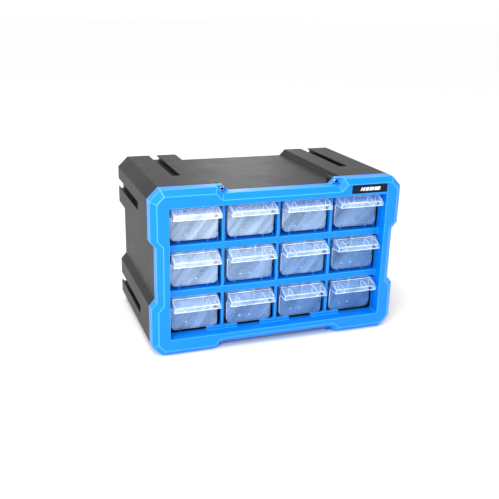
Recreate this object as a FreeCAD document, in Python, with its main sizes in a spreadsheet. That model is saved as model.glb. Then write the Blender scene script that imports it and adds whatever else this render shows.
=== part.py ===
import FreeCAD, Part
import math
import os
import re
import Sketcher

# Parts organizer: a moulded cabinet shell behind a screwed-on front bezel, with
# three rows of four clear drawers that run on the rails of four inner panels.
# Millimetres. +Z is up, the bezel faces -Y, and the origin is the centre of the
# footprint. Every body below is drawn with y = 0 on the bezel's front face and
# y growing towards the back, then moved half the depth forward.

ROWS = 3
COLUMNS = 4

# Two lengths closer than this count as equal.
TOLERANCE = 0.01

# Driving sizes: alias, value, meaning.
SIZES = [
    ("width", 380, "overall width"),
    ("height", 242, "overall height"),
    ("depth", 232, "overall depth, bezel face to back wall"),
    ("corner_cut", 15, "leg of the cut at each long corner"),
    ("overrun", 1, "how far a cut runs past the face that it opens"),
    ("pad_width", 93.4, "width of the top and bottom corner pads"),
    ("pad_rise", 9.5, "height of the top and bottom pads above the wall between them"),
    ("side_pad_height", 72, "height of the corner pads on the sides"),
    ("side_pad_rise", 8.2, "height of the side pads above the wall between them"),
    ("pad_slope", 9.6, "run of the slope that ends each pad"),
    ("wall", 3, "shell wall thickness"),
    ("bezel_depth", 24.6, "bezel depth, front face to shell joint"),
    ("bezel_wall", 3, "bezel wall thickness"),
    ("bezel_skin", 9, "thickness of the bezel's front before it is hollow behind"),
    ("band_depth", 7, "depth of the sloped band around the front face"),
    ("band_inset", 8.4, "inset of the sloped band on the front face"),
    ("frame_margin", 25.3, "front face margin around the drawer opening"),
    ("grid_setback", 17.2, "front face to the fronts of the shelves and dividers"),
    ("shelf_thickness", 9.7, "shelf between two rows at the bezel"),
    ("divider_thickness", 3.7, "divider between two columns at the bezel"),
    ("ledge_reach", 21.5, "reach of a bottom ledge each side of a divider"),
    ("ledge_play", 0.3, "gap between a drawer's floor and what carries it"),
    ("ear_setback", 15, "front face to the face of the screw ears"),
    ("ear_width", 9.8, "reach of a screw ear beyond the pad"),
    ("ear_root", 1, "reach of a screw ear into the pad"),
    ("screw_from_edge_x", 103.4, "screw centre in from the cabinet's side"),
    ("screw_from_edge_z", 5.8, "screw centre in from the top or bottom"),
    ("screw_head_radius", 3.2, "screw head"),
    ("screw_head_height", 2, "screw head"),
    ("screw_recess_play", 1, "radial room around the screw head"),
    ("screw_recess_depth", 3, "depth of the recess for the head"),
    ("screw_shank_radius", 1.6, "screw shank"),
    ("screw_length", 18, "screw shank length under the head"),
    ("screw_play", 0.3, "radial clearance around the shank"),
    ("screw_slot_length", 4.8, "cross slot in the head"),
    ("screw_slot_width", 1, "cross slot in the head"),
    ("screw_slot_depth", 1.1, "cross slot in the head"),
    ("boss_wall", 2.4, "wall around the screw hole in the shell's boss"),
    ("boss_length", 14, "length of the shell's screw boss"),
    ("badge_width", 57, "plain badge"),
    ("badge_height", 12, "plain badge"),
    ("badge_thickness", 1.6, "plain badge"),
    ("badge_from_edge_x", 26.5, "badge in from the cabinet's side"),
    ("badge_from_edge_z", 9.6, "badge below the top"),
    ("badge_recess_depth", 1, "recess that the badge sits in"),
    ("badge_play", 0.3, "gap around the badge"),
    ("badge_border", 1.2, "raised border of the badge"),
    ("badge_relief", 0.4, "height of the badge's border"),
    ("slot_mouth", 12.8, "mouth width of the edge slots"),
    ("slot_chamber", 18.8, "width of the slots under the lips"),
    ("slot_lip", 2.4, "thickness of the slot lips"),
    ("slot_depth", 7, "depth of the edge slots"),
    ("slot_wall", 2.5, "wall around the slot chambers"),
    ("slot_from_edge_x", 56.6, "top and bottom slot centre in from the side"),
    ("slot_from_edge_z", 41, "side slot centre in from the top or bottom"),
    ("slot_front", 84, "front face to the closed front end of the slots"),
    ("panel_thickness", 2, "inner panels"),
    ("panel_play", 0.4, "gap around the inner panels"),
    ("rail_width", 5, "rails on the shell's sides under the panels"),
    ("rail_height", 4, "rails on the shell's sides under the panels"),
    ("runner_width", 3, "runners that carry a drawer"),
    ("runner_offset", 21, "runner centre from the drawer's centre"),
    ("guide_width", 1.6, "guide ribs beside a drawer"),
    ("guide_height", 11, "guide ribs above the panel"),
    ("guide_play", 0.6, "side gap between a drawer and its guides"),
    ("hold_down_play", 0.6, "gap between a drawer and the ribs above it"),
    ("drawer_side_gap", 5.3, "drawer to divider"),
    ("drawer_floor_gap", 5.5, "cell floor to the drawer's underside"),
    ("drawer_top_gap", 1.85, "drawer to the underside of the cell's top"),
    ("drawer_wall", 1.8, "drawer walls and floor"),
    ("drawer_back_gap", 5, "drawer to the shell's back wall"),
    ("drawer_side_drop", 3.2, "side walls below the top of the front"),
    ("drawer_corner", 7, "radius of the drawer's bottom corners"),
    ("hood_depth", 20, "reach of the handle hood in front of the drawer front"),
    ("hood_rim", 3.2, "strip of drawer front above the hood's roof"),
    ("hood_crest_drop", 7.8, "top of the drawer to the front edge of the roof"),
    ("hood_bottom_drop", 15.7, "top of the drawer to the bottom of the lip"),
    ("hood_cheek_flat", 7, "level part of the hood's cheeks"),
    ("hood_corner", 3, "radius of the cheeks' top edges"),
    ("hood_wall", 1.8, "hood roof, lip and cheeks"),
    ("hood_rib_inset", 15, "hood ribs in from each end"),
    ("hood_rib_width", 1.2, "hood ribs"),
    ("tag_hole", 4, "square hole in the lip"),
    ("tag_hole_inset", 9, "hole centre in from the lip's right end"),
    ("tag_hole_depth", 2.7, "through the lip and clear of the hollow behind it"),
    ("pip_radius", 1.6, "two pips on the drawer floor"),
    ("pip_height", 1.2, "two pips on the drawer floor"),
    ("pip_pitch", 15, "two pips on the drawer floor"),
    ("pip_setback", 16, "pips behind the drawer front"),
    ("groove_rib", 1.4, "ribs that hold a cross divider in a drawer"),
    ("groove_gap", 2, "gap between the two ribs of a pair"),
    ("groove_first", 62, "first pair of ribs behind the drawer front"),
    ("groove_second", 130, "second pair of ribs behind the drawer front"),
    ("groove_top_drop", 6, "top of the ribs below the drawer's top"),
]

# Sizes that follow from the driving ones.
DERIVED = [
    ("opening_width", "width - 2 * frame_margin"),
    ("opening_height", "height - 2 * frame_margin"),
    ("cell_width", "(opening_width - {} * divider_thickness) / {}".format(COLUMNS - 1, COLUMNS)),
    ("cell_height", "(opening_height - {} * shelf_thickness) / {}".format(ROWS - 1, ROWS)),
    ("column_pitch", "cell_width + divider_thickness"),
    ("row_pitch", "cell_height + shelf_thickness"),
    ("drawer_width", "cell_width - 2 * drawer_side_gap"),
    ("drawer_height", "cell_height - drawer_floor_gap - drawer_top_gap"),
    ("drawer_length", "depth - wall - drawer_back_gap - hood_depth"),
    ("half_width", "width / 2"),
    ("half_height", "height / 2"),
    ("half_opening", "opening_width / 2"),
    ("opening_top", "height - frame_margin"),
    ("rib_start", "max(bezel_depth + panel_play; hood_depth + drawer_wall + hold_down_play)"),
]

doc = FreeCAD.newDocument("parts_organizer")
sheet = doc.addObject("Spreadsheet::Sheet", "Sizes")


def fill_sheet():
    """Write every size to its own row and name the cell after it."""
    rows = [(name, str(value), meaning) for name, value, meaning in SIZES]
    rows += [(name, "=" + formula, "follows from the sizes above") for name, formula in DERIVED]
    for line, (name, content, meaning) in enumerate(rows, 1):
        sheet.set("A{}".format(line), name)
        sheet.set("B{}".format(line), content)
        sheet.set("C{}".format(line), meaning)
        sheet.setAlias("B{}".format(line), name)
        doc.recompute()


def bound(formula):
    """Put the sheet's name in front of each size in a formula."""
    return re.sub(r"\b[a-z][a-z_]+\b(?!\()", lambda found: "Sizes." + found.group(), formula)


def negated(formula):
    return "-({})".format(formula)


def origin_plane(body, role):
    return next(item for item in body.Origin.OriginFeatures if item.Role == role)


def pin_point(sketch, geometry, point, place):
    """Tie one sketch point to two formulas."""
    for kind, formula in zip(("DistanceX", "DistanceY"), place):
        index = sketch.addConstraint(Sketcher.Constraint(kind, -1, 1, geometry, point, 1))
        sketch.setExpression("Constraints[{}]".format(index), bound(formula))


def add_polygon(sketch, corners):
    """Add a closed outline with one line between each two corners."""
    first = sketch.GeometryCount
    count = len(corners)
    turn = 2 * math.pi / count
    spots = [FreeCAD.Vector(math.cos(turn * i), math.sin(turn * i), 0) for i in range(count)]
    for i in range(count):
        sketch.addGeometry(Part.LineSegment(spots[i], spots[(i + 1) % count]), False)
    for i in range(count):
        following = first + (i + 1) % count
        sketch.addConstraint(Sketcher.Constraint("Coincident", first + i, 2, following, 1))
    for i, corner in enumerate(corners):
        pin_point(sketch, first + i, 1, corner)


def add_circle(sketch, centre, radius):
    circle = Part.Circle(FreeCAD.Vector(0, 0, 0), FreeCAD.Vector(0, 0, 1), 1)
    geometry = sketch.addGeometry(circle, False)
    pin_point(sketch, geometry, 3, centre)
    index = sketch.addConstraint(Sketcher.Constraint("Radius", geometry, 1))
    sketch.setExpression("Constraints[{}]".format(index), bound(radius))


def rectangle(left, right, bottom, top):
    return [(left, bottom), (right, bottom), (right, top), (left, top)]


def block(centre, size, bottom, top):
    """Rectangle of a given width around a centre line."""
    half = "({}) / 2".format(size)
    return rectangle("{} - {}".format(centre, half), "{} + {}".format(centre, half), bottom, top)


def make_sketch(body, name, role, offset, polygons, circles=()):
    """Sketch on one of the body's own planes, moved along the plane's normal."""
    sketch = body.newObject("Sketcher::SketchObject", name)
    sketch.AttachmentSupport = [(origin_plane(body, role), "")]
    sketch.MapMode = "FlatFace"
    sketch.setExpression("AttachmentOffset.Base.z", bound(offset))
    for corners in polygons:
        add_polygon(sketch, corners)
    for centre, radius in circles:
        add_circle(sketch, centre, radius)
    return sketch


def grow(body, name, start, length, polygons=(), circles=()):
    """Add material from a front-view outline, from one depth towards the back."""
    sketch = make_sketch(body, name + "_outline", "XZ_Plane", negated(start), polygons, circles)
    pad = body.newObject("PartDesign::Pad", name)
    pad.Profile = sketch
    pad.Reversed = True
    pad.setExpression("Length", bound(length))
    return pad


def cut(body, name, start, length, polygons=(), circles=()):
    """Take material away behind a front-view outline."""
    sketch = make_sketch(body, name + "_outline", "XZ_Plane", negated(start), polygons, circles)
    pocket = body.newObject("PartDesign::Pocket", name)
    pocket.Profile = sketch
    pocket.setExpression("Length", bound(length))
    return pocket


def grow_across(body, name, length, corners, offset="0"):
    """Add material from a side-view outline, centred on a plane across the width."""
    sketch = make_sketch(body, name + "_outline", "YZ_Plane", offset, [corners])
    pad = body.newObject("PartDesign::Pad", name)
    pad.Profile = sketch
    pad.SideType = "Symmetric"
    pad.setExpression("Length", bound(length))
    return pad


def cut_across(body, name, length, corners):
    """Take material away along the width, centred on the middle plane."""
    sketch = make_sketch(body, name + "_outline", "YZ_Plane", "0", [corners])
    pocket = body.newObject("PartDesign::Pocket", name)
    pocket.Profile = sketch
    pocket.SideType = "Symmetric"
    pocket.setExpression("Length", bound(length))
    return pocket


def grow_up(body, name, start, length, polygons=(), circles=()):
    """Add material from a plan-view outline, upwards from one height."""
    sketch = make_sketch(body, name + "_outline", "XY_Plane", start, polygons, circles)
    pad = body.newObject("PartDesign::Pad", name)
    pad.Profile = sketch
    pad.setExpression("Length", bound(length))
    return pad


def round_edges(body, name, radius, wanted):
    """Round the edges that pass a test; a body's own frame has y = 0 at its front."""
    doc.recompute()
    base = body.Tip
    names = ["Edge{}".format(i) for i, edge in enumerate(base.Shape.Edges, 1) if wanted(edge)]
    fillet = body.newObject("PartDesign::Fillet", name)
    fillet.Base = (base, names)
    fillet.setExpression("Radius", bound(radius))
    return fillet


def new_body(label, x="0", z="0"):
    """Body whose y = 0 lies on the bezel's front face."""
    body = doc.addObject("PartDesign::Body", label)
    body.Label = label
    body.setExpression("Placement.Base.x", bound(x))
    body.setExpression("Placement.Base.y", bound("-depth / 2"))
    body.setExpression("Placement.Base.z", bound(z))
    return body


def size(name):
    return float(sheet.get(name))


def close_to(value, target):
    return abs(value - target) < TOLERANCE


# Outlines shared by the bezel and the shell

def four_corners(quadrant):
    """Mirror the points of the upper right corner into a full outline.

    The points are given from the middle of the cabinet, starting at the top.
    """
    upper_right = list(quadrant)
    lower_right = [(x, negated(z)) for x, z in reversed(upper_right)]
    lower_left = [(negated(x), negated(z)) for x, z in upper_right]
    upper_left = [(negated(x), z) for x, z in reversed(upper_right)]
    full = upper_right + lower_right + lower_left + upper_left
    return [(x, "half_height + ({})".format(z)) for x, z in full]


def cabinet_outline(inset):
    """Front view of the cabinet: cut corners and raised corner pads.

    The inset moves every side inwards, so the same outline makes inner walls.
    """
    return four_corners([
        ("half_width - pad_width - pad_slope", "half_height - pad_rise - {}".format(inset)),
        ("half_width - pad_width", "half_height - {}".format(inset)),
        ("half_width - corner_cut", "half_height - {}".format(inset)),
        ("half_width - {}".format(inset), "half_height - corner_cut"),
        ("half_width - {}".format(inset), "half_height - side_pad_height"),
        ("half_width - side_pad_rise - {}".format(inset), "half_height - side_pad_height - pad_slope"),
    ])


def each_corner(x, z):
    """The four mirror images of one point, given from the middle of the cabinet."""
    ends = [(x, z), (negated(x), z), (x, negated(z)), (negated(x), negated(z))]
    return [(left, "half_height + ({})".format(up)) for left, up in ends]


SCREW_PLACES = each_corner("half_width - screw_from_edge_x", "half_height - screw_from_edge_z")
OPENING = rectangle("-half_opening", "half_opening", "frame_margin", "opening_top")


def column_centre(column):
    return "({} * column_pitch)".format(column - (COLUMNS - 1) / 2)


def divider_centre(divider):
    return "({} * column_pitch)".format(divider - COLUMNS / 2)


def row_floor(row):
    """Height of a row's cell floor, counted from the top row."""
    return "frame_margin + {} * row_pitch".format(ROWS - 1 - row)


# Front bezel

def make_bezel():
    body = new_body("front_bezel")
    grow(body, "side_wall", "band_depth", "bezel_depth - band_depth", [cabinet_outline("0")])
    band = grow(body, "sloped_band", "band_depth", "band_depth", [cabinet_outline("0")])
    band.Reversed = False
    band.setExpression("TaperAngle", bound("-atan(band_inset / band_depth)"))
    cut(body, "hollow_behind", "bezel_skin", "bezel_depth - bezel_skin", [cabinet_outline("bezel_wall")])
    grow(body, "opening_wall", "bezel_skin", "bezel_depth - bezel_skin", [
        rectangle("-half_opening - bezel_wall", "half_opening + bezel_wall",
                  "frame_margin - bezel_wall", "opening_top + bezel_wall")])
    grow(body, "screw_ears", "ear_setback", "bezel_depth - ear_setback", ear_outlines())
    cut(body, "opening", "0", "bezel_depth", [OPENING])
    bars = [block(divider_centre(n), "divider_thickness", "frame_margin", "opening_top")
            for n in range(1, COLUMNS)]
    grow(body, "dividers", "grid_setback", "bezel_depth - grid_setback", bars)
    for row in range(ROWS - 1):
        top = row_floor(row)
        grow(body, "shelf_{}".format(row + 1), "grid_setback", "bezel_depth - grid_setback", [
            rectangle("-half_opening", "half_opening", top + " - shelf_thickness", top)])
    ledge_top = "frame_margin + drawer_floor_gap - ledge_play"
    for n in range(1, COLUMNS):
        reach = "2 * ledge_reach + divider_thickness"
        grow(body, "bottom_ledge_{}".format(n), "grid_setback", "bezel_depth - grid_setback", [
            block(divider_centre(n), reach, "frame_margin", ledge_top)])
    cut(body, "screw_recesses", "0", "ear_setback + screw_recess_depth",
        circles=[(place, "screw_head_radius + screw_recess_play") for place in SCREW_PLACES])
    cut(body, "screw_holes", "0", "bezel_depth",
        circles=[(place, "screw_shank_radius + screw_play") for place in SCREW_PLACES])
    cut(body, "badge_recess", "0", "badge_recess_depth", [badge_outline("badge_play")])
    return body


def ear_outlines():
    """Four tabs that carry the screws, just inside the corner pads."""
    outlines = []
    for x_sign in ("", "-"):
        for z_sign in ("", "-"):
            corners = [
                ("half_width - pad_width + ear_root", "half_height"),
                ("half_width - pad_width - ear_width", "half_height"),
                ("half_width - pad_width - ear_width - pad_slope", "half_height - pad_rise"),
                ("half_width - pad_width - ear_width - pad_slope", "half_height - pad_rise - bezel_wall"),
                ("half_width - pad_width + ear_root", "half_height - pad_rise - bezel_wall"),
            ]
            outlines.append([(x_sign + "(" + x + ")", "half_height + " + z_sign + "(" + z + ")")
                             for x, z in corners])
    return outlines


def badge_outline(play):
    right = "half_width - badge_from_edge_x"
    top = "height - badge_from_edge_z"
    return rectangle("{} - badge_width - {}".format(right, play), "{} + {}".format(right, play),
                     "{} - badge_height - {}".format(top, play), "{} + {}".format(top, play))


def make_badge():
    body = new_body("badge_plate")
    front = "badge_recess_depth - badge_thickness"
    grow(body, "plate", front, "badge_thickness", [badge_outline("0")])
    cut(body, "field", front, "badge_relief", [badge_outline("-badge_border")])
    return body


def make_screws():
    body = new_body("bezel_screws")
    seat = "ear_setback + screw_recess_depth"
    heads = [(place, "screw_head_radius") for place in SCREW_PLACES]
    shanks = [(place, "screw_shank_radius") for place in SCREW_PLACES]
    grow(body, "heads", seat + " - screw_head_height", "screw_head_height", circles=heads)
    grow(body, "shanks", seat, "screw_length", circles=shanks)
    for name, wide, tall in (("level", "screw_slot_length", "screw_slot_width"),
                             ("upright", "screw_slot_width", "screw_slot_length")):
        slots = [block(x, wide, "{} - {} / 2".format(z, tall), "{} + {} / 2".format(z, tall))
                 for x, z in SCREW_PLACES]
        cut(body, name + "_slots", seat + " - screw_head_height", "screw_slot_depth", slots)
    return body


# Cabinet shell

def slot_shapes(section):
    """One section repeated at the eight edge slots, turned to face outwards.

    The section is a list of (across, inward) formulas around a slot's centre
    line, with inward counted from the outer face.
    """
    shapes = []
    for x_sign in ("", "-"):
        for z_sign in ("", "-"):
            shapes.append([
                ("{}(half_width - slot_from_edge_x) + {}".format(x_sign, across),
                 "half_height + {}(half_height - ({}))".format(z_sign, inward))
                for across, inward in section])
            shapes.append([
                ("{}(half_width - ({}))".format(x_sign, inward),
                 "half_height + {}(half_height - slot_from_edge_z) + {}".format(z_sign, across))
                for across, inward in section])
    return shapes


def slot_box(width, outer, inner):
    left = "-({}) / 2".format(width)
    right = "({}) / 2".format(width)
    return [(left, outer), (right, outer), (right, inner), (left, inner)]


def make_shell():
    body = new_body("cabinet_shell")
    length = "depth - bezel_depth"
    grow(body, "outside", "bezel_depth", length, [cabinet_outline("0")])
    cut(body, "inside", "bezel_depth", length + " - wall", [cabinet_outline("wall")])
    housing = slot_box("slot_chamber + 2 * slot_wall", "wall / 2", "slot_depth + slot_wall")
    mouth = slot_box("slot_mouth", "-overrun", "slot_depth")
    chamber = slot_box("slot_chamber", "slot_lip", "slot_depth")
    grow(body, "slot_housings", "slot_front - slot_wall", "depth - wall / 2 - slot_front + slot_wall",
         slot_shapes(housing))
    cut(body, "slot_mouths", "slot_front", "depth - slot_front", slot_shapes(mouth))
    cut(body, "slot_chambers", "slot_front", "depth - slot_front", slot_shapes(chamber))
    grow(body, "screw_bosses", "bezel_depth", "boss_length",
         circles=[(place, "screw_shank_radius + screw_play + boss_wall") for place in SCREW_PLACES])
    cut(body, "boss_holes", "bezel_depth", "boss_length",
        circles=[(place, "screw_shank_radius + screw_play") for place in SCREW_PLACES])
    grow(body, "panel_rails", "bezel_depth", length + " - wall / 2", rail_outlines())
    return body


def rail_outlines():
    """Rails on both sides under the floor panel, the two shelves and the ceiling."""
    outlines = []
    inner = "half_width - side_pad_rise - wall - rail_width"
    for top, reach in panel_seats():
        outlines.append(rectangle(inner, reach, top + " - rail_height", top))
        outlines.append(rectangle(negated(reach), negated(inner), top + " - rail_height", top))
    return outlines


def panel_seats():
    """Underside height of each panel, and how far out its rails reach."""
    low = "half_width - wall / 2"
    high = "half_width - side_pad_rise - wall / 2"
    seats = [("frame_margin - panel_thickness", low)]
    seats += [(row_floor(row) + " - panel_thickness", high) for row in reversed(range(ROWS - 1))]
    seats.append(("height - frame_margin", low))
    return seats


# Inner panels and the rails on them

PANEL_START = "bezel_depth + panel_play"
PANEL_LENGTH = "depth - wall - bezel_depth - 2 * panel_play"


def make_panel(label, seat):
    """Plain panel that fills the shell from side to side behind the bezel."""
    body = new_body(label)
    side = "half_width - side_pad_rise - wall - panel_play"
    plate = rectangle(negated(side), side, seat, seat + " + panel_thickness")
    grow(body, "plate", PANEL_START, PANEL_LENGTH, [plate])
    return body


def beside_each_column(offset, width, bottom, top):
    """Two bars per column, the same distance either side of its middle."""
    return [block("{} {} ({})".format(column_centre(column), sign, offset), width, bottom, top)
            for column in range(COLUMNS) for sign in ("-", "+")]


def rails_above(seat):
    """Runners that carry the drawers and the guides beside them."""
    top = seat + " + panel_thickness"
    beside = "drawer_width / 2 + guide_play + guide_width / 2"
    runner_top = top + " + drawer_floor_gap - ledge_play"
    runners = beside_each_column("runner_offset", "runner_width", top, runner_top)
    return runners + beside_each_column(beside, "guide_width", top, top + " + guide_height")


def rails_below(seat, ceiling):
    """Ribs that keep the drawers of the row underneath from tipping."""
    bottom = ceiling + " - drawer_top_gap - drawer_side_drop + hold_down_play"
    return beside_each_column("drawer_width / 2 - drawer_wall / 2", "drawer_wall", bottom, seat)


def make_rails(label, above, below):
    """One node of bars: those above a panel, and the ribs below it, clear of the drawer fronts."""
    body = new_body(label)
    if above:
        grow(body, "runners", PANEL_START, PANEL_LENGTH, above)
    if below:
        grow(body, "ribs", "rib_start", "depth - wall - panel_play - rib_start", below)
    return body


def make_panels():
    """The four panels from the floor up, each with its rails."""
    seats = [seat for seat, reach in panel_seats()]
    bodies = [make_panel("floor_panel", seats[0]), make_rails("floor_rails", rails_above(seats[0]), [])]
    for label, seat, row in (("lower", seats[1], 1), ("upper", seats[2], 0)):
        ribs = rails_below(seat, row_floor(row) + " - shelf_thickness")
        bodies.append(make_panel(label + "_shelf", seat))
        bodies.append(make_rails(label + "_shelf_rails", rails_above(seat), ribs))
    bodies.append(make_panel("ceiling_panel", seats[3]))
    bodies.append(make_rails("ceiling_rails", [], rails_below(seats[3], seats[3])))
    return bodies


# Drawers

def make_drawer(row, column):
    """Clear drawer, drawn around its own middle with its underside at z = 0."""
    floor = "{} + drawer_floor_gap".format(row_floor(row))
    body = new_body("drawer_r{}_c{}".format(row + 1, column + 1), column_centre(column), floor)
    side = "drawer_width / 2"
    inner = "drawer_width / 2 - drawer_wall"
    top = "drawer_height"
    crest = "drawer_height - hood_crest_drop"
    lip_bottom = "drawer_height - hood_bottom_drop"
    roof = "drawer_height - hood_rim"

    grow(body, "front", "hood_depth", "drawer_wall", [rectangle(negated(side), side, "0", top)])
    grow_across(body, "hood", "drawer_width", [
        ("0", lip_bottom), ("hood_depth", lip_bottom), ("hood_depth", top),
        ("hood_depth - hood_cheek_flat", top), ("0", crest)])
    doc.recompute()
    half = size("drawer_width") / 2
    low = size("drawer_height") - size("hood_crest_drop")

    def is_side(edge):
        first, last = edge.Vertexes[0].X, edge.Vertexes[-1].X
        return close_to(first, last) and close_to(abs(first), half)

    def is_cheek_top(edge):
        ahead = min(v.Y for v in edge.Vertexes) < size("hood_depth") - TOLERANCE
        return is_side(edge) and ahead and all(v.Z > low - TOLERANCE for v in edge.Vertexes)

    def is_bottom(edge):
        return is_side(edge) and all(close_to(v.Z, 0) for v in edge.Vertexes)

    def is_inner_bottom(edge):
        first, last = edge.Vertexes[0], edge.Vertexes[-1]
        beside = close_to(first.X, last.X) and close_to(abs(first.X), half - size("drawer_wall"))
        return beside and close_to(first.Z, last.Z) and close_to(first.Z, size("drawer_wall"))

    round_edges(body, "hood_corners", "hood_corner", is_cheek_top)
    grow(body, "tub", "hood_depth + drawer_wall", "drawer_length - drawer_wall",
         [rectangle(negated(side), side, "0", "drawer_height - drawer_side_drop")])
    cut(body, "inside", "hood_depth + drawer_wall", "drawer_length - 2 * drawer_wall",
        [rectangle(negated(inner), inner, "drawer_wall", "drawer_height + overrun")])
    round_edges(body, "inside_corners", "drawer_corner - drawer_wall", is_inner_bottom)
    round_edges(body, "bottom_corners", "drawer_corner", is_bottom)
    cut_across(body, "roof_recess", "drawer_width - 2 * hood_wall", [
        ("hood_depth", roof), ("hood_depth", "drawer_height + overrun"),
        ("-overrun", "drawer_height + overrun"), ("-overrun", crest), ("0", crest)])
    cut_across(body, "finger_hollow", "drawer_width - 2 * hood_wall", [
        ("hood_wall", lip_bottom + " - overrun"), ("hood_depth", lip_bottom + " - overrun"),
        ("hood_depth", roof + " - hood_wall"), ("hood_wall", crest + " - hood_wall")])
    rib = [("hood_wall / 2", lip_bottom), ("hood_depth", lip_bottom),
           ("hood_depth", roof + " - hood_wall / 2"), ("hood_wall / 2", crest + " - hood_wall / 2")]
    rib_place = "drawer_width / 2 - hood_rib_inset"
    grow_across(body, "right_rib", "hood_rib_width", rib, rib_place)
    grow_across(body, "left_rib", "hood_rib_width", rib, negated(rib_place))
    hole = "drawer_height - (hood_crest_drop + hood_bottom_drop) / 2"
    square = block("drawer_width / 2 - tag_hole_inset", "tag_hole",
                   hole + " - tag_hole / 2", hole + " + tag_hole / 2")
    cut(body, "tag_hole", "0", "tag_hole_depth", [square])
    pip_depth = "hood_depth + drawer_wall + pip_setback"
    grow_up(body, "floor_pips", "drawer_wall", "pip_height", circles=[
        (("pip_pitch / 2", pip_depth), "pip_radius"), (("-pip_pitch / 2", pip_depth), "pip_radius")])
    grow_up(body, "divider_ribs", "drawer_corner",
            "drawer_height - groove_top_drop - drawer_corner", divider_ribs())
    return body


def divider_ribs():
    """Plan view of the upright ribs, in pairs, that hold a cross divider."""
    outlines = []
    for distance in ("groove_first", "groove_second"):
        for step in ("-", "+"):
            centre = "hood_depth + drawer_wall + {} {} (groove_gap + groove_rib) / 2".format(distance, step)
            near = centre + " - groove_rib / 2"
            far = centre + " + groove_rib / 2"
            inner = "drawer_width / 2 - drawer_wall - groove_rib"
            outer = "drawer_width / 2 - drawer_wall / 2"
            outlines.append(rectangle(inner, outer, near, far))
            outlines.append(rectangle(negated(outer), negated(inner), near, far))
    return outlines


def build():
    fill_sheet()
    bodies = [make_bezel(), make_shell(), make_badge(), make_screws()]
    bodies += make_panels()
    for row in range(ROWS):
        for column in range(COLUMNS):
            bodies.append(make_drawer(row, column))
    doc.recompute()
    return bodies


def check(bodies):
    """Stop on any object that failed, before a file is written."""
    for item in doc.Objects:
        if "Invalid" in item.State or "Error" in item.State:
            raise RuntimeError("{} failed to build".format(item.Label))
    for body in bodies:
        if body.Shape.isNull() or not body.Shape.isValid():
            raise RuntimeError("{} has no valid shape".format(body.Label))


def export(bodies):
    os.makedirs("parts", exist_ok=True)
    for body in bodies:
        body.Shape.exportStep("parts/{}.step".format(body.Label))


parts = build()
check(parts)
export(parts)
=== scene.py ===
"""Looks of a parts organizer: clear drawers in a blue front frame on a black shell."""

import logging
import math
from collections.abc import Callable
from dataclasses import dataclass, field
from enum import Enum, IntEnum
from functools import cached_property

import bmesh
import bpy
from mathutils import Matrix, Vector


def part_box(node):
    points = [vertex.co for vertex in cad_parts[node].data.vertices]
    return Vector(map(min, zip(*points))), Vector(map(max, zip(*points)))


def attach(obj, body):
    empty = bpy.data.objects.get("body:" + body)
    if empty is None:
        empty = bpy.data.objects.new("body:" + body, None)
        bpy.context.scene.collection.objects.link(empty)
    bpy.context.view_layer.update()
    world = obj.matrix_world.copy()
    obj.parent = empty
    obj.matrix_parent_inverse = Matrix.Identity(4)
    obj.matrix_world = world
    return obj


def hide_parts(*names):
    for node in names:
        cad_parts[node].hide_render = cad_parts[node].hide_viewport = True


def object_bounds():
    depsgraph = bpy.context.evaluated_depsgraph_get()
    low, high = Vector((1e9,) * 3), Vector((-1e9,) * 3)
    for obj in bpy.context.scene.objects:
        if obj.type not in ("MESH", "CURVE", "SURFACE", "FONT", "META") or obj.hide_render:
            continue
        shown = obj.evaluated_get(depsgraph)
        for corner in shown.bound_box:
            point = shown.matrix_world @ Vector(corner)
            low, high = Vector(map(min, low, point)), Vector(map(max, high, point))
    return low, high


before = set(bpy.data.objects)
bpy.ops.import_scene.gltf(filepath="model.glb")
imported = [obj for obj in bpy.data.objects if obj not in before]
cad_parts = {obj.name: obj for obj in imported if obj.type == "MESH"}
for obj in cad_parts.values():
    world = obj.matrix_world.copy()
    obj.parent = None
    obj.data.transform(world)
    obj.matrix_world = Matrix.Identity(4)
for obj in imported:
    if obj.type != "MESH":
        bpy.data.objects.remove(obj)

CAD_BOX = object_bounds()

log = logging.getLogger("parts_organizer")

MILLIMETRE = 0.001
ROWS = 3
COLUMNS = 4

# Width of the gap between CAD vertices that belong together
WELD_GAP = 0.01 * MILLIMETRE

# Angles between faces: up to the first they are one flat face, above the second a sharp corner
FLAT_ANGLE = math.radians(1)
CORNER_ANGLE = math.radians(28)

# Steps across a rounded edge
EDGE_STEPS = 2

# Least cosine between a face's normal and the way that it is said to face
FACING = 0.9

# Range that nearly all of a noise pattern lies in
NOISE_LOW = 0.3
NOISE_HIGH = 0.7

# Places of the colour sockets in a Mix node, which has sockets of other types before them
MIX_FACTOR = 0
MIX_FIRST = 6
MIX_SECOND = 7
MIX_RESULT = 2

Colour = tuple[float, float, float, float]
Point = tuple[float, float, float]
FaceTest = Callable[[bmesh.types.BMFace], bool]
EdgeTest = Callable[[bmesh.types.BMEdge], bool]


class Slot(Enum):
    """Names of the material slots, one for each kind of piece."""

    BLUE = "blue_moulding"
    BLACK = "black_moulding"
    CLEAR = "clear_drawer"
    BADGE = "badge"
    SCREWS = "screws"


class Side(Enum):
    """Left or right of the cabinet, seen from the front."""

    LEFT = -1
    RIGHT = 1


class Level(Enum):
    """Bottom or top of the cabinet."""

    BOTTOM = -1
    TOP = 1


class Skin(IntEnum):
    """Places of a piece's further finishes in its list of materials, or -1 for the face beside's."""

    AS_BESIDE = -1
    # The accent place holds a painted highlight on edges and pips, and painted shade in the screws'
    # drives
    ACCENT = 1
    HOOD = 2


def linear_from_srgb(code: str) -> Colour:
    """Turn a hex sRGB colour into the linear values that shaders take.

    Args:
        code: Six hex digits, such as "1e90ff".

    Returns:
        Linear red, green and blue with an alpha of one.
    """
    channels = []
    for start in (0, 2, 4):
        value = int(code[start:start + 2], 16) / 255
        channels.append(value / 12.92 if value <= 0.04045 else ((value + 0.055) / 1.055) ** 2.4)
    return channels[0], channels[1], channels[2], 1.0


# Materials


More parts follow.
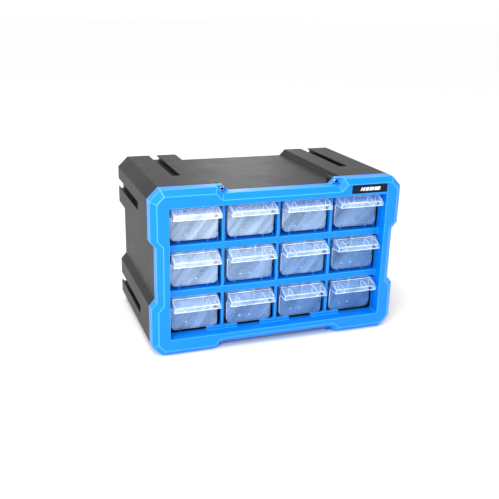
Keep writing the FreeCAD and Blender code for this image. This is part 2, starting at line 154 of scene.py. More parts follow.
class MaterialGraph:
    """A new material's node tree, with short calls to add and join nodes."""

    def __init__(self, name: str) -> None:
        """Start a material that holds only a Principled shader and its output.

        Args:
            name: The material's name.
        """
        self.material = bpy.data.materials.new(name)
        self.material.use_nodes = True
        self.tree = self.material.node_tree
        self.shader = self.tree.nodes["Principled BSDF"]

    def add(self, kind: str, **settings: object) -> bpy.types.Node:
        """Add a node and set its properties and input values.

        Args:
            kind: The node's type, such as "ShaderNodeTexNoise".
            **settings: Values by input name with underscores, or by property name.

        Returns:
            The new node.
        """
        node = self.tree.nodes.new(kind)
        for key, value in settings.items():
            if hasattr(node, key):
                setattr(node, key, value)
            else:
                node.inputs[key.replace("_", " ")].default_value = value
        return node

    def join(self, source: bpy.types.NodeSocket, target: bpy.types.NodeSocket) -> None:
        """Link two sockets."""
        self.tree.links.new(source, target)

    def set(self, **values: object) -> None:
        """Set the Principled shader's own sockets by name with underscores."""
        for key, value in values.items():
            self.shader.inputs[key.replace("_", " ")].default_value = value

    def object_coordinates(self) -> bpy.types.NodeSocket:
        """Place patterns by the piece's own coordinates, in metres."""
        return self.add("ShaderNodeTexCoord").outputs["Object"]

    def noise(self, size: float, detail: float = 3.0, roughness: float = 0.5) -> bpy.types.NodeSocket:
        """Add a noise pattern of a real size.

        Args:
            size: Distance between the pattern's features, in metres.
            detail: Octaves of finer noise.
            roughness: Strength of the finer octaves.

        Returns:
            The pattern's value between nought and one.
        """
        node = self.add("ShaderNodeTexNoise", Scale=1 / size, Detail=detail, Roughness=roughness)
        self.join(self.object_coordinates(), node.inputs["Vector"])
        return node.outputs["Fac"]

    def streaks(self, width: float, length: float, lean: float) -> bpy.types.NodeSocket:
        """Add streaks of a real size that lean to one side.

        Args:
            width: Distance from streak to streak, in metres.
            length: Length of a streak, in metres.
            lean: Angle of the streaks from the vertical.

        Returns:
            The pattern's value between nought and one.
        """
        turn = self.add("ShaderNodeMapping", Rotation=(0, lean, 0))
        stretch = self.add("ShaderNodeMapping", Scale=(1 / width, 1 / width, 1 / length))
        noise = self.add("ShaderNodeTexNoise", Scale=1.0, Detail=2.0)
        self.join(self.object_coordinates(), turn.inputs["Vector"])
        self.join(turn.outputs["Vector"], stretch.inputs["Vector"])
        self.join(stretch.outputs["Vector"], noise.inputs["Vector"])
        return noise.outputs["Fac"]

    def spread(self, source: bpy.types.NodeSocket, low: float, high: float) -> bpy.types.NodeSocket:
        """Map a pattern's middle range onto two values.

        Args:
            source: A value between nought and one.
            low: Result at the pattern's low end.
            high: Result at the pattern's high end.

        Returns:
            The mapped value.
        """
        node = self.add(
            "ShaderNodeMapRange", clamp=True,
            From_Min=NOISE_LOW, From_Max=NOISE_HIGH, To_Min=low, To_Max=high)
        self.join(source, node.inputs["Value"])
        return node.outputs["Result"]

    def mix(self, factor: bpy.types.NodeSocket, first: Colour, second: Colour) -> bpy.types.NodeSocket:
        """Mix two colours by a pattern.

        Args:
            factor: The pattern.
            first: Linear colour at nought.
            second: Linear colour at one.

        Returns:
            The mixed colour.
        """
        node = self.add("ShaderNodeMix", data_type="RGBA")
        self.join(factor, node.inputs[MIX_FACTOR])
        node.inputs[MIX_FIRST].default_value = first
        node.inputs[MIX_SECOND].default_value = second
        return node.outputs[MIX_RESULT]

    def bump(self, height: bpy.types.NodeSocket, depth: float, strength: float = 1.0) -> None:
        """Raise a pattern on the surface.

        Args:
            height: The pattern.
            depth: Its real depth in metres.
            strength: How much of it shows.
        """
        node = self.add("ShaderNodeBump", Strength=strength, Distance=depth)
        self.join(height, node.inputs["Height"])
        self.join(node.outputs["Normal"], self.shader.inputs["Normal"])


@dataclass(frozen=True)
class OpaqueMoulding:
    """Opaque plastic: polypropylene from a moulding tool, or the film and foil of the badge.

    The pigment drifts a little along the flow, the sheen changes where the
    surface is worn, and the grain gives the highlights their fine break-up.
    """

    name: str
    colour: str
    shade: str
    roughness: float
    roughness_change: float
    specular_level: float
    grain: float
    grain_depth: float
    grain_detail: float = 0.6
    flow_size: float = 90 * MILLIMETRE
    wear_size: float = 35 * MILLIMETRE

    def build(self) -> bpy.types.Material:
        """Make the material.

        Returns:
            A material with flow marks in its colour and the grain as bump.
        """
        graph = MaterialGraph(self.name)
        graph.set(Specular_IOR_Level=self.specular_level)
        flow = graph.noise(self.flow_size, detail=2.0)
        colour = graph.mix(flow, linear_from_srgb(self.colour), linear_from_srgb(self.shade))
        graph.join(colour, graph.shader.inputs["Base Color"])
        wear = graph.noise(self.wear_size)
        low = self.roughness - self.roughness_change
        rough = graph.spread(wear, low, self.roughness + self.roughness_change)
        graph.join(rough, graph.shader.inputs["Roughness"])
        graph.bump(graph.noise(self.grain, roughness=self.grain_detail), self.grain_depth)
        return graph.material


@dataclass(frozen=True)
class ClearMoulding:
    """Clear polystyrene with a blue cast, which a painted sheen turns milky.

    The stronger the painted sheen, the whiter the plastic is painted and the
    more it hides what is behind it. The melt's flow leaves leaning streaks, and
    a painted glow can make a finish give off light of its own. Cover is the
    share of what lies behind a face that the face hides.
    """

    name: str
    colour: str
    painted_light_colour: str
    cover: float
    painted_sheen_cover: float
    roughness: float
    # Strength of the painted glow: light that a finish gives off of its own
    painted_glow: float = 0.0
    roughness_share: float = 0.4
    polish_size: float = 8 * MILLIMETRE
    haze_size: float = 26 * MILLIMETRE
    clean_share: float = 0.8
    cloudy_lead: float = 0.1
    streak_width: float = 9 * MILLIMETRE
    streak_length: float = 90 * MILLIMETRE
    streak_lean: float = math.radians(-38)
    streak_share: float = 0.45
    ripple_size: float = 12 * MILLIMETRE
    ripple_depth: float = 0.08 * MILLIMETRE
    ripple_strength: float = 0.5

    def build(self, painted_sheen: float) -> bpy.types.Material:
        """Make the material.

        Args:
            painted_sheen: Strength of the painted sheen, from nought, none, to one, the strongest.

        Returns:
            A part-clear material with drifting haze, flow streaks and soft ripples.
        """
        graph = MaterialGraph("{}_painted_sheen_{:.0f}".format(self.name, painted_sheen * 100))
        # Painted sheen: the colour and the cover move towards milky white as it grows
        graph.join(self.haze(graph, painted_sheen), graph.shader.inputs["Base Color"])
        cover = self.cover + (self.painted_sheen_cover - self.cover) * painted_sheen
        streaks = graph.streaks(self.streak_width, self.streak_length, self.streak_lean)
        hiding = graph.spread(streaks, cover * (1 - self.streak_share), cover * (1 + self.streak_share))
        graph.join(hiding, graph.shader.inputs["Alpha"])
        polish = graph.noise(self.polish_size, detail=4.0, roughness=0.6)
        low = self.roughness * (1 - self.roughness_share)
        rough = graph.spread(polish, low, self.roughness * (1 + self.roughness_share))
        graph.join(rough, graph.shader.inputs["Roughness"])
        ripples = graph.noise(self.ripple_size, detail=2.0)
        graph.bump(ripples, self.ripple_depth, self.ripple_strength)
        # Painted glow: the finish gives off light of its own
        graph.set(
            Emission_Color=linear_from_srgb(self.painted_light_colour), Emission_Strength=self.painted_glow)
        return graph.material

    def haze(self, graph: MaterialGraph, painted_sheen: float) -> bpy.types.NodeSocket:
        """Mix the colours of the clean and the cloudy patches.

        Args:
            graph: The material's graph.
            painted_sheen: Strength of the painted sheen, from nought, none, to one, the strongest.

        Returns:
            The mixed colour.
        """
        new, worn = linear_from_srgb(self.colour), linear_from_srgb(self.painted_light_colour)
        # The whitening of the painted sheen grows with the square of its strength
        sheen_whitening = painted_sheen * painted_sheen
        clean = tuple(a + (b - a) * sheen_whitening * self.clean_share for a, b in zip(new, worn))
        cloudy = tuple(a + (b - a) * min(1.0, sheen_whitening + self.cloudy_lead) for a, b in zip(new, worn))
        return graph.mix(graph.noise(self.haze_size), clean, cloudy)


@dataclass(frozen=True)
class Steel:
    """Screw steel, zinc-plated or bare, with a slightly cloudy surface."""

    name: str
    colour: str
    glossiest: float = 0.22
    dullest: float = 0.42
    cloud_size: float = 1.2 * MILLIMETRE
    grain: float = 0.4 * MILLIMETRE
    grain_depth: float = 0.01 * MILLIMETRE

    def build(self) -> bpy.types.Material:
        """Make the material.

        Returns:
            A metal that is glossier in some spots than in others.
        """
        graph = MaterialGraph(self.name)
        graph.set(Base_Color=linear_from_srgb(self.colour), Metallic=1.0)
        cloud = graph.noise(self.cloud_size, detail=4.0)
        rough = graph.spread(cloud, self.glossiest, self.dullest)
        graph.join(rough, graph.shader.inputs["Roughness"])
        graph.bump(graph.noise(self.grain), self.grain_depth)
        return graph.material


# Blue polypropylene from a lightly textured tool: an even, satin blue with soft highlights.
BLUE_MOULDING = OpaqueMoulding(
    "moulded_blue_polypropylene", colour="0086f0", shade="0081e9",
    roughness=0.36, roughness_change=0.05, specular_level=0.25,
    grain=1.1 * MILLIMETRE, grain_depth=0.01 * MILLIMETRE)

# The same plastic on the rounded edges: glossier, and a paler blue that is a painted highlight.
BLUE_WITH_PAINTED_EDGE_HIGHLIGHT = OpaqueMoulding(
    "blue_polypropylene_from_polished_corners", colour="2eb0ff", shade="28a9fa",
    roughness=0.22, roughness_change=0.04, specular_level=0.6,
    grain=1.1 * MILLIMETRE, grain_depth=0.004 * MILLIMETRE)

# Black polypropylene from a spark-eroded tool: dull, with a fine grain that breaks up highlights.
BLACK_MOULDING = OpaqueMoulding(
    "spark_eroded_black_polypropylene", colour="1a1a1b", shade="1c1c1d",
    roughness=0.44, roughness_change=0.02, specular_level=0.15,
    grain=0.7 * MILLIMETRE, grain_depth=0.02 * MILLIMETRE)

# The blue of the shelves: duller than the frame, and a little darker as painted shade for the frame
# that shades them.
SHELF_BLUE_WITH_PAINTED_SHADE = OpaqueMoulding(
    "moulded_blue_shelf_polypropylene", colour="0676d8", shade="0670ce",
    roughness=0.5, roughness_change=0.05, specular_level=0.4,
    grain=0.9 * MILLIMETRE, grain_depth=0.02 * MILLIMETRE)

# The plain black of the floor: a dark strip under the bottom drawers.
FLOOR_MOULDING = OpaqueMoulding(
    "moulded_black_floor_polypropylene", colour="151517", shade="18181a",
    roughness=0.5, roughness_change=0.05, specular_level=0.4,
    grain=0.9 * MILLIMETRE, grain_depth=0.02 * MILLIMETRE)

# Printed navy film over a plastic plate: near black, with a soft gloss.
BADGE_FACE = OpaqueMoulding(
    "printed_navy_badge_film", colour="040b22", shade="060e2a",
    roughness=0.3, roughness_change=0.04, specular_level=0.2,
    grain=0.8 * MILLIMETRE, grain_depth=0.004 * MILLIMETRE)

# White hot-stamped foil: a bright mark against the navy.
BADGE_INLAY = OpaqueMoulding(
    "hot_stamped_white_foil", colour="eef2f8", shade="e6ebf4",
    roughness=0.3, roughness_change=0.06, specular_level=0.5,
    grain=0.5 * MILLIMETRE, grain_depth=0.004 * MILLIMETRE)

# Injection-moulded clear polystyrene: see-through blue, painted milky white by a sheen that is
# strongest on the upper left drawers.
CLEAR_WALL = ClearMoulding(
    "moulded_clear_polystyrene", colour="1f90e8", painted_light_colour="d6ecff",
    cover=0.22, painted_sheen_cover=0.4, roughness=0.1)

# The hood is gripped at each use, so its faces are paler than the walls.
CLEAR_HOOD = ClearMoulding(
    "handled_clear_polystyrene", colour="9accf8", painted_light_colour="eef6ff",
    cover=0.2, painted_sheen_cover=0.3, roughness=0.12)

# Edges of the same plastic, near-opaque white: bright lines of painted highlight with a faint painted
# glow, and painted glints on the floor's pips.
CLEAR_PAINTED_HIGHLIGHT = ClearMoulding(
    "edges_of_clear_polystyrene", colour="e6f1ff", painted_light_colour="ffffff",
    cover=0.82, painted_sheen_cover=0.97, roughness=0.08, painted_glow=0.3)

# Zinc-plated steel: a small bright ring around each drive.
SCREW_STEEL = Steel("zinc_plated_steel", colour="e2e5ea")

# Painted shade deep in the drive: near-black steel that gives the bright head a dark centre.
DRIVE_STEEL_WITH_PAINTED_SHADE = Steel("steel_with_painted_drive_shade", colour="141518")


# Mesh work


def only(piece: bpy.types.Object) -> None:
    """Make an object the single selected and active one.

    Args:
        piece: The object.
    """
    bpy.ops.object.select_all(action="DESELECT")
    piece.select_set(True)
    bpy.context.view_layer.objects.active = piece


def pick(
    piece: bpy.types.Object, wanted_face: FaceTest | None = None, wanted_edge: EdgeTest | None = None
) -> None:
    """Open an object for editing with only the wanted faces or edges selected.

    Args:
        piece: The object.
        wanted_face: Test that a face must pass to be selected.
        wanted_edge: Test that an edge must pass to be selected.
    """
    only(piece)
    bpy.ops.object.mode_set(mode="EDIT")
    bpy.ops.mesh.select_mode(type="FACE" if wanted_face else "EDGE")
    bpy.ops.mesh.select_all(action="DESELECT")
    mesh = bmesh.from_edit_mesh(piece.data)
    mesh.normal_update()
    if wanted_face:
        for face in mesh.faces:
            face.select_set(wanted_face(face))
    if wanted_edge:
        for edge in mesh.edges:
            edge.select_set(wanted_edge(edge))
    bmesh.update_edit_mesh(piece.data)


def done() -> None:
    """Close the object that is being edited."""
    bpy.ops.object.mode_set(mode="OBJECT")


def merged_copy(node: str, name: str, join_flats: bool = False) -> bpy.types.Object:
    """Copy a CAD node's mesh into a new object and join its loose triangles.

    Args:
        node: Name of the CAD node.
        name: Name of the new object.
        join_flats: Whether triangles in one plane become one face.

    Returns:
        The new object, at rest in the row frame.
    """
    piece = bpy.data.objects.new(name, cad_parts[node].data.copy())
    bpy.context.scene.collection.objects.link(piece)
    piece.data.materials.clear()
    only(piece)
    bpy.ops.object.mode_set(mode="EDIT")
    bpy.ops.mesh.select_all(action="SELECT")
    bpy.ops.mesh.remove_doubles(threshold=WELD_GAP)
    if join_flats:
        bpy.ops.mesh.dissolve_limited(angle_limit=FLAT_ANGLE)
    bpy.ops.mesh.normals_make_consistent(inside=False)
    done()
    if piece.data.has_custom_normals:
        bpy.ops.mesh.customdata_custom_splitnormals_clear()
    return piece


def facing(x: float, y: float, z: float) -> FaceTest:
    """Make a test for faces that point one way, given as a unit vector."""
    way = Vector((x, y, z))
    return lambda face: face.normal.dot(way) > FACING


def is_sharp(edge: bmesh.types.BMEdge) -> bool:
    """Tell whether two faces meet at a corner rather than along a smooth curve."""
    return len(edge.link_faces) == 2 and edge.calc_face_angle(0.0) > CORNER_ANGLE


def round_edges(
    piece: bpy.types.Object, width: float, least: float = 0.0, skin: Skin = Skin.AS_BESIDE
) -> None:
    """Give a piece's sharp edges the small radius that a moulding tool leaves.

    Args:
        piece: The object.
        width: Width of the rounding in metres.
        least: Length in metres up to which an edge is left sharp.
        skin: Finish of the new faces.
    """
    pick(piece, wanted_edge=lambda edge: is_sharp(edge) and edge.calc_length() > least)
    bpy.ops.mesh.bevel(
        offset=width, segments=EDGE_STEPS, clamp_overlap=False, material=int(skin),
        miter_outer="ARC", loop_slide=False)
    done()


def paint(piece: bpy.types.Object, wanted_face: FaceTest, skin: Skin) -> None:
    """Give some of a piece's faces another of its finishes.

    Args:
        piece: The object, with its materials.
        wanted_face: Test that a face must pass to be painted.
        skin: The finish.
    """
    pick(piece, wanted_face=wanted_face)
    piece.active_material_index = int(skin)
    bpy.ops.object.material_slot_assign()
    done()


def smooth(piece: bpy.types.Object, crease: float = 32.0, flatness: int = 100) -> None:
    """Shade curves smoothly and large faces flat.

    Args:
        piece: The object.
        crease: Angle in degrees above which an edge stays sharp.
        flatness: How far large faces outweigh small ones in the shading.
    """
    only(piece)
    bpy.ops.object.shade_smooth_by_angle(angle=math.radians(crease), keep_sharp_edges=False)
    modifier = piece.modifiers.new("flat_faces", "WEIGHTED_NORMAL")
    modifier.keep_sharp = True
    modifier.weight = flatness
    bpy.ops.object.modifier_apply(modifier=modifier.name)


def dress(piece: bpy.types.Object, *materials: bpy.types.Material) -> None:
    """Give an object these materials in place of those it has.

    Args:
        piece: The object.
        *materials: The materials, in the order of their places.
    """
    piece.data.materials.clear()
    for material in materials:
        piece.data.materials.append(material)


def settle(piece: bpy.types.Object, body: str, slot: Slot, *nodes: str) -> None:
    """Hand a finished piece to the frame.

    Args:
        piece: The object.
        body: The CAD body that carries it.
        slot: Material slot of the piece; not used.
        *nodes: CAD nodes that it stands for.
    """
    if nodes:
        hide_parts(*nodes)
    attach(piece, body)


# The cabinet


@dataclass
class Bezel:
    """Blue front frame with rounded edges, glossier and painted with a paler highlight."""

    node: str = "front_bezel"
    edge_width: float = 0.7 * MILLIMETRE
    least_edge: float = 2.2 * MILLIMETRE

    def build(self, face: bpy.types.Material, edge: bpy.types.Material) -> bpy.types.Object:
        """Model and dress the frame.

        Args:
            face: Finish of the broad faces.
            edge: Finish of the rounded edges, glossier and with a painted highlight.

        Returns:
            The finished piece.
        """
        piece = merged_copy(self.node, "front_bezel_moulding")
        dress(piece, face, edge)
        # Painted highlight: the rounded edges take the paler, glossier blue
        round_edges(piece, self.edge_width, self.least_edge, Skin.ACCENT)
        smooth(piece)
        settle(piece, "cabinet", Slot.BLUE, self.node)
        return piece


@dataclass
class Shell:
    """Black cabinet shell behind the frame."""

    node: str = "cabinet_shell"
    edge_width: float = 0.6 * MILLIMETRE
    least_edge: float = 2.2 * MILLIMETRE

    def build(self, finish: bpy.types.Material) -> bpy.types.Object:
        """Model and dress the shell.

        Args:
            finish: The black moulding.

        Returns:
            The finished piece.
        """
        piece = merged_copy(self.node, "cabinet_shell_moulding")
        dress(piece, finish)
        round_edges(piece, self.edge_width, self.least_edge)
        smooth(piece)
        settle(piece, "cabinet", Slot.BLACK, self.node)
        return piece


@dataclass
class InnerPanels:
    """The four panels and their rails, which keep the CAD's own meshes."""

    shelves: tuple[str, ...] = (
        "lower_shelf", "lower_shelf_rails", "upper_shelf", "upper_shelf_rails",
        "ceiling_panel", "ceiling_rails")
    floor: tuple[str, ...] = ("floor_panel", "floor_rails")

    def build(
        self, shelf_finish: bpy.types.Material, floor_finish: bpy.types.Material
    ) -> list[bpy.types.Object]:
        """Dress the panels.

        Args:
            shelf_finish: Moulding of the shelves and the ceiling, darkened as painted shade.
            floor_finish: Moulding of the floor.

        Returns:
            The dressed CAD nodes.
        """
        panels = []
        # Painted shade: the shelves and the ceiling take the darker blue
        for names, finish in ((self.shelves, shelf_finish), (self.floor, floor_finish)):
            for name in names:
                dress(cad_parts[name], finish)
                panels.append(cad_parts[name])
        return panels


@dataclass
class Drawer:
    """One clear drawer whose rounded edges carry a painted highlight."""

    row: int
    column: int
    edge_width: float = 0.5 * MILLIMETRE
    least_edge: float = 4.2 * MILLIMETRE
    hood_reach: float = 19.5 * MILLIMETRE
    roof_rise: float = 0.3
    pip_setback: float = 37.8 * MILLIMETRE
    pip_room: float = 2.2 * MILLIMETRE
    # Drops of the painted sheen per row down and per column to the right
    row_sheen_drop: float = 0.14
    column_sheen_drop: float = 0.11

    @property
    def node(self) -> str:
        """Name of the CAD node and of its body."""
        return "drawer_r{}_c{}".format(self.row, self.column)

    @cached_property
    def box(self) -> tuple[Vector, Vector]:
        """Lowest and highest corner of the CAD node."""
        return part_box(self.node)

    @property
    def painted_sheen(self) -> float:
        """Painted sheen of the drawer: strongest at the upper left, where the light makes the drawers
        look whitest, weaker down and to the right.
        """
        return 1.0 - self.row_sheen_drop * (self.row - 1) - self.column_sheen_drop * (self.column - 1)

    def build(self, wall: ClearMoulding, edge: ClearMoulding, hood: ClearMoulding) -> bpy.types.Object:
        """Model and dress the drawer.

        Args:
            wall: Finish of the walls.
            edge: Painted highlight of the rounded edges, and painted glints of the pips on the floor.
            hood: Finish of the handle hood.

        Returns:
            The finished piece.
        """
        piece = merged_copy(self.node, self.node + "_moulding", join_flats=True)
        dress(piece, wall.build(self.painted_sheen), edge.build(self.painted_sheen), hood.build(self.painted_sheen))
        paint(piece, self.is_hood, Skin.HOOD)
        # Painted glints: the pips take the bright edge finish
        paint(piece, self.is_pip, Skin.ACCENT)
        # Painted highlight: the rounded edges take the bright edge finish
        round_edges(piece, self.edge_width, self.least_edge, Skin.ACCENT)
        smooth(piece)
        settle(piece, self.node, Slot.CLEAR, self.node)
        return piece

    def is_hood(self, face: bmesh.types.BMFace) -> bool:
        """Tell whether a face is part of the hood, as its roof or as what lies ahead of the front.

        Args:
            face: A face of the drawer.

        Returns:
            Whether it takes the hood's finish.
        """
        back = self.box[0].y + self.hood_reach
        is_roof = face.calc_center_median().y < back and abs(face.normal.z) > self.roof_rise
        return is_roof or all(vertex.co.y < back for vertex in face.verts)

    def is_pip(self, face: bmesh.types.BMFace) -> bool:
        """Tell whether a face is part of the two small pips in the middle of the floor.

        Args:
            face: A face of the drawer.

        Returns:
            Whether it takes the edges' finish, as a painted glint.
        """
        low, high = self.box
        centre = face.calc_center_median()
        is_central = abs(centre.x - (low.x + high.x) / 2) < (high.x - low.x) / 4
        is_level = abs(centre.y - low.y - self.pip_setback) < self.pip_room
        return is_central and is_level and face.calc_area() < (2 * self.pip_room) ** 2


@dataclass
class Screw:
    """Round-headed screw in a recess of the frame, with a six-sided drive."""

    side: Side
    level: Level
    head_radius: float = 3.2 * MILLIMETRE
    head_height: float = 2.0 * MILLIMETRE
    head_sides: int = 48
    drive_radius: float = 1.9 * MILLIMETRE
    drive_depth: float = 1.7 * MILLIMETRE
    drive_sides: int = 6
    drive_share: float = 0.95
    shank_radius: float = 1.6 * MILLIMETRE
    shank_length: float = 18.0 * MILLIMETRE
    dome: float = 0.9 * MILLIMETRE
    dome_steps: int = 5
    front_room: float = 0.05 * MILLIMETRE
    crease: float = 40.0

    def build(
        self, finish: bpy.types.Material, socket: bpy.types.Material, front: float,
        across: float, height: float
    ) -> bpy.types.Object:
        """Model and dress the screw.

        Args:
            finish: The plated steel.
            socket: Near-black steel inside the drive, as painted shade.
            front: Y of the head's front face.
            across: Distance of the screw from the cabinet's middle plane.
            height: Distance of the screw from the cabinet's middle height.

        Returns:
            The finished piece, with its mesh in the row frame.
        """
        low, high = CAD_BOX
        middle = (low[2] + high[2]) / 2
        x, z = self.side.value * across, middle + self.level.value * height
        piece = self.add_cylinder(
            self.head_sides, self.head_radius, self.head_height, (x, front + self.head_height / 2, z))
        piece.name = "screw_{}_{}".format(self.level.name.lower(), self.side.name.lower())
        pick(piece, wanted_face=facing(0, 1, 0))
        bpy.ops.mesh.inset(thickness=self.head_radius - self.shank_radius)
        bpy.ops.mesh.extrude_region_move(TRANSFORM_OT_translate={"value": (0, self.shank_length, 0)})
        done()
        rim = front + self.front_room
        pick(piece, wanted_edge=lambda edge: all(vertex.co.y < rim for vertex in edge.verts))
        bpy.ops.mesh.bevel(offset=self.dome, segments=self.dome_steps, clamp_overlap=True)
        done()
        self.cut_drive(piece, (x, front, z))
        dress(piece, finish, socket)
        # Painted shade: the faces inside the drive take the near-black steel
        self.paint_drive_shade(piece, (x, front, z))
        smooth(piece, self.crease)
        return piece

    def add_cylinder(
        self, sides: int, radius: float, depth: float, centre: Point
    ) -> bpy.types.Object:
        """Add a cylinder that lies from front to back.

        Args:
            sides: Number of its sides.
            radius: Its radius.
            depth: Its length.
            centre: Its centre.

        Returns:
            The cylinder, with its mesh in the row frame.
        """
        bpy.ops.object.select_all(action="DESELECT")
        bpy.ops.mesh.primitive_cylinder_add(
            vertices=sides, radius=radius, depth=depth, location=centre,
            rotation=(math.radians(90), 0, 0))
        cylinder = bpy.context.object
        bpy.ops.object.transform_apply(location=True, rotation=True, scale=True)
        return cylinder

    def cut_drive(self, piece: bpy.types.Object, face_centre: Point) -> None:
        """Sink the six-sided drive into the head.

        Args:
            piece: The screw.
            face_centre: Centre of the head's front face.
        """
        cutter = self.add_cylinder(
            self.drive_sides, self.drive_radius, 2 * self.drive_depth, face_centre)
        only(piece)
        modifier = piece.modifiers.new("drive", "BOOLEAN")
        modifier.operation = "DIFFERENCE"
        modifier.solver = "EXACT"
        modifier.object = cutter
        bpy.ops.object.modifier_apply(modifier=modifier.name)
        bpy.data.objects.remove(cutter, do_unlink=True)

    def paint_drive_shade(self, piece: bpy.types.Object, face_centre: Point) -> None:
        """Paint shade on the faces inside the drive with the near-black steel.

        Args:
            piece: The screw, with both its materials.
            face_centre: Centre of the head's front face.
        """
        x, front, z = face_centre

        def is_inside(face: bmesh.types.BMFace) -> bool:
            """Tell whether a face lies behind the head's front and within the drive.

            Args:
                face: A face of the screw.

            Returns:
                Whether it takes the painted shade.
            """
            centre = face.calc_center_median()
            is_near = math.hypot(centre.x - x, centre.z - z) < self.drive_radius * self.drive_share
            return is_near and front < centre.y < front + self.head_height

        paint(piece, is_inside, Skin.ACCENT)


@dataclass
class Screws:
    """The four screws that hold the frame to the shell."""

    node: str = "bezel_screws"

    def build(self, finish: bpy.types.Material, socket: bpy.types.Material) -> list[bpy.types.Object]:
        """Model the four screws where the CAD has them.

        Args:
            finish: The plated steel.
            socket: Near-black steel inside the drives, as painted shade.

        Returns:
            The finished pieces.
        """
        low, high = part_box(self.node)
        across = high.x - Screw.head_radius
        height = (high.z - low.z) / 2 - Screw.head_radius
        pieces = []
        for side in Side:
            for level in Level:
                piece = Screw(side, level).build(finish, socket, low.y, across, height)
                stands_for = (self.node,) if not pieces else ()
                settle(piece, "cabinet", Slot.SCREWS, *stands_for)
                pieces.append(piece)
        return pieces


@dataclass
class Badge:
    """Navy insert with a raised rim and a plain mark of slanted bars."""

    node: str = "badge_plate"
    rim_width: float = 1.2 * MILLIMETRE
    rim_height: float = 0.4 * MILLIMETRE
    edge_width: float = 0.25 * MILLIMETRE
    bar_height: float = 5.0 * MILLIMETRE
    bar_slant: float = 1.6 * MILLIMETRE
    bar_depth: float = 0.25 * MILLIMETRE
    bar_widths: tuple[float, ...] = (
        2.0 * MILLIMETRE, 3.0 * MILLIMETRE, 4.5 * MILLIMETRE, 6.5 * MILLIMETRE, 9.5 * MILLIMETRE)
    bar_gap: float = 1.4 * MILLIMETRE
    bar_edge: float = 0.1 * MILLIMETRE

    def build(self, face: bpy.types.Material, inlay: bpy.types.Material) -> list[bpy.types.Object]:
        """Model and dress the insert and its mark.

        Args:
            face: Finish of the insert.
            inlay: Finish of the bars.

        Returns:
            The finished pieces.
        """
        low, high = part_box(self.node)
        plate = self.build_plate(low, high)
        dress(plate, face)
        smooth(plate)
        settle(plate, "cabinet", Slot.BADGE, self.node)
        total = sum(self.bar_widths) + self.bar_gap * (len(self.bar_widths) - 1)
        left = (low.x + high.x - total) / 2
        bars = []
        for number, width in enumerate(self.bar_widths, 1):
            bar = self.build_bar(number, left, width, low.y + self.rim_height, (low.z + high.z) / 2)
            dress(bar, inlay)
            smooth(bar)
            settle(bar, "cabinet", Slot.BADGE)
            bars.append(bar)
            left += width + self.bar_gap
        return [plate, *bars]

    def build_plate(self, low: Vector, high: Vector) -> bpy.types.Object:
        """Raise the rim around a plate that fills the CAD node's box.

        Args:
            low: Lowest corner of the box.
            high: Highest corner of the box.

        Returns:
            The plate.
        """
        bpy.ops.object.select_all(action="DESELECT")
        bpy.ops.mesh.primitive_cube_add(size=1, location=(low + high) / 2, scale=high - low)
        plate = bpy.context.object
        plate.name = "badge_insert"
        bpy.ops.object.transform_apply(location=True, rotation=True, scale=True)
        pick(plate, wanted_face=facing(0, -1, 0))
        bpy.ops.mesh.inset(thickness=self.rim_width)
        bpy.ops.mesh.extrude_region_move(TRANSFORM_OT_translate={"value": (0, self.rim_height, 0)})
        done()
        round_edges(plate, self.edge_width)
        return plate

    def build_bar(
        self, number: int, left: float, width: float, back: float, middle: float
    ) -> bpy.types.Object:
        """Make one slanted bar of the mark.

        Args:
            number: Place of the bar in the row, from the left.
            left: X of the bar's left end at its middle height.
            width: Width of the bar.
            back: Y of the face that the bar stands on.
            middle: Z of the bar's middle.

        Returns:
            The bar.
        """
        depth = 2 * self.bar_depth
        bpy.ops.object.select_all(action="DESELECT")
        bpy.ops.mesh.primitive_cube_add(
            size=1, location=(left + width / 2, back, middle), scale=(width, depth, self.bar_height))
        bar = bpy.context.object
        bar.name = "badge_mark_bar_{}".format(number)
        bpy.ops.object.transform_apply(location=True, rotation=True, scale=True)
        pick(bar, wanted_face=facing(0, 0, 1))
        bpy.ops.transform.translate(value=(self.bar_slant, 0, 0))
        done()
        round_edges(bar, self.bar_edge)
        return bar


# The studio


@dataclass
class StudioCamera:
    """Camera at the front left and a little above the cabinet.

    The lens and the sensor are in millimetres, the angles in degrees, the rest in metres.
    """

    lens: float = 51.5
    sensor_width: float = 36.0
    nearest: float = 0.01
    azimuth: float = -20.62
    elevation: float = 18.89
    roll: float = 1.52
    distance: float = 1.0702
    aim: tuple[float, float, float] = (-0.0276, -0.056, 0.1282)

    def build(self) -> None:
        """Place the camera and make it the scene's own."""
        turn = math.radians(self.azimuth)
        rise = math.radians(self.elevation)
        lean = math.radians(self.roll)
        reach = math.cos(rise)
        back = Vector((math.sin(turn) * reach, -math.cos(turn) * reach, math.sin(rise)))
        level = Vector((math.cos(turn), math.sin(turn), 0))
        above = back.cross(level)
        right = level * math.cos(lean) + above * math.sin(lean)
        up = above * math.cos(lean) - level * math.sin(lean)
        data = bpy.data.cameras.new("studio_camera")
        data.lens = self.lens
        data.sensor_width = self.sensor_width
        data.clip_start = self.nearest
        camera = bpy.data.objects.new("studio_camera", data)
        bpy.context.scene.collection.objects.link(camera)
        turned = Matrix((right, up, back)).transposed().to_4x4()
        camera.matrix_world = Matrix.Translation(Vector(self.aim) + back * self.distance) @ turned
        bpy.context.scene.camera = camera


@dataclass
class SoftLight:
    """One large rectangular studio light, its power in watts."""

    name: str
    place: tuple[float, float, float]
    size: tuple[float, float]
    power: float
    target: tuple[float, float, float] = (0.0, 0.0, 0.12)

    def build(self) -> None:
        """Hang the light so that it faces its target."""
        data = bpy.data.lights.new(self.name, "AREA")
        data.shape = "RECTANGLE"
        data.size, data.size_y = self.size
        data.energy = self.power
        light = bpy.data.objects.new(self.name, data)
        bpy.context.scene.collection.objects.link(light)
        light.location = self.place
        aim = Vector(self.target) - Vector(self.place)
        light.rotation_euler = aim.to_track_quat("-Z", "Y").to_euler()


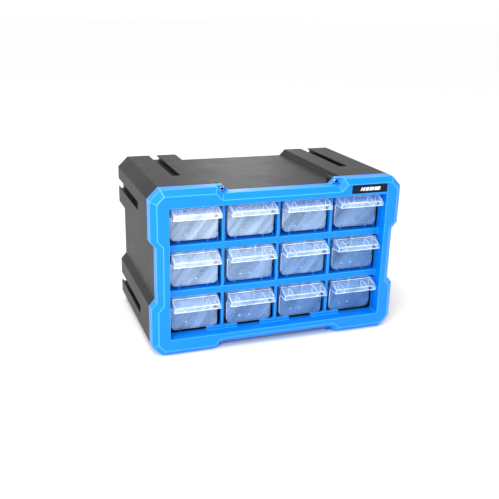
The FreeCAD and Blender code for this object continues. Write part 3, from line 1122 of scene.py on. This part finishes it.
@dataclass
class Studio:
    """Pale floor, white surroundings and soft lights."""

    floor_size: float = 40.0
    floor_colour: str = "fdfdfd"
    floor_roughness: float = 0.9
    surround_colour: str = "ffffff"
    surround: float = 1.0
    lights: tuple[SoftLight, ...] = field(default_factory=lambda: (
        SoftLight("top_light", place=(-0.5, -0.6, 1.5), size=(1.0, 1.0), power=12.0),
        SoftLight("front_light", place=(-0.6, -0.9, 0.6), size=(0.4, 0.4), power=4.0),
        SoftLight("back_light", place=(0.62, 1.8, 0.72), size=(0.3, 0.5), power=1.4),
    ))

    def build(self) -> None:
        """Make the floor, the surroundings and the lights."""
        bpy.ops.object.select_all(action="DESELECT")
        bpy.ops.mesh.primitive_plane_add(size=self.floor_size, location=(0, 0, 0))
        floor = bpy.context.object
        floor.name = "studio_floor"
        # Matt white backdrop paper: soft shadows and no reflections
        graph = MaterialGraph("matt_white_backdrop_paper")
        graph.set(Base_Color=linear_from_srgb(self.floor_colour), Roughness=self.floor_roughness)
        dress(floor, graph.material)
        world = bpy.data.worlds.new("studio_surround")
        world.use_nodes = True
        background = world.node_tree.nodes["Background"]
        background.inputs["Color"].default_value = linear_from_srgb(self.surround_colour)
        background.inputs["Strength"].default_value = self.surround
        bpy.context.scene.world = world
        bpy.context.scene.view_settings.view_transform = "Standard"
        for light in self.lights:
            light.build()


def log_built(pieces: list[bpy.types.Object]) -> None:
    """Log the name of each piece that is ready."""
    for piece in pieces:
        log.info("built %s", piece.name)


def main() -> None:
    """Build the studio and every piece, in order, and report each piece."""
    logging.basicConfig(level=logging.INFO, format="%(message)s")
    StudioCamera().build()
    Studio().build()
    log_built([Shell().build(BLACK_MOULDING.build())])
    log_built([Bezel().build(BLUE_MOULDING.build(), BLUE_WITH_PAINTED_EDGE_HIGHLIGHT.build())])
    log_built(InnerPanels().build(SHELF_BLUE_WITH_PAINTED_SHADE.build(), FLOOR_MOULDING.build()))
    for row in range(1, ROWS + 1):
        for column in range(1, COLUMNS + 1):
            log_built([Drawer(row, column).build(CLEAR_WALL, CLEAR_PAINTED_HIGHLIGHT, CLEAR_HOOD)])
    log_built(Screws().build(SCREW_STEEL.build(), DRIVE_STEEL_WITH_PAINTED_SHADE.build()))
    log_built(Badge().build(BADGE_FACE.build(), BADGE_INLAY.build()))


if __name__ == "__main__":
    main()
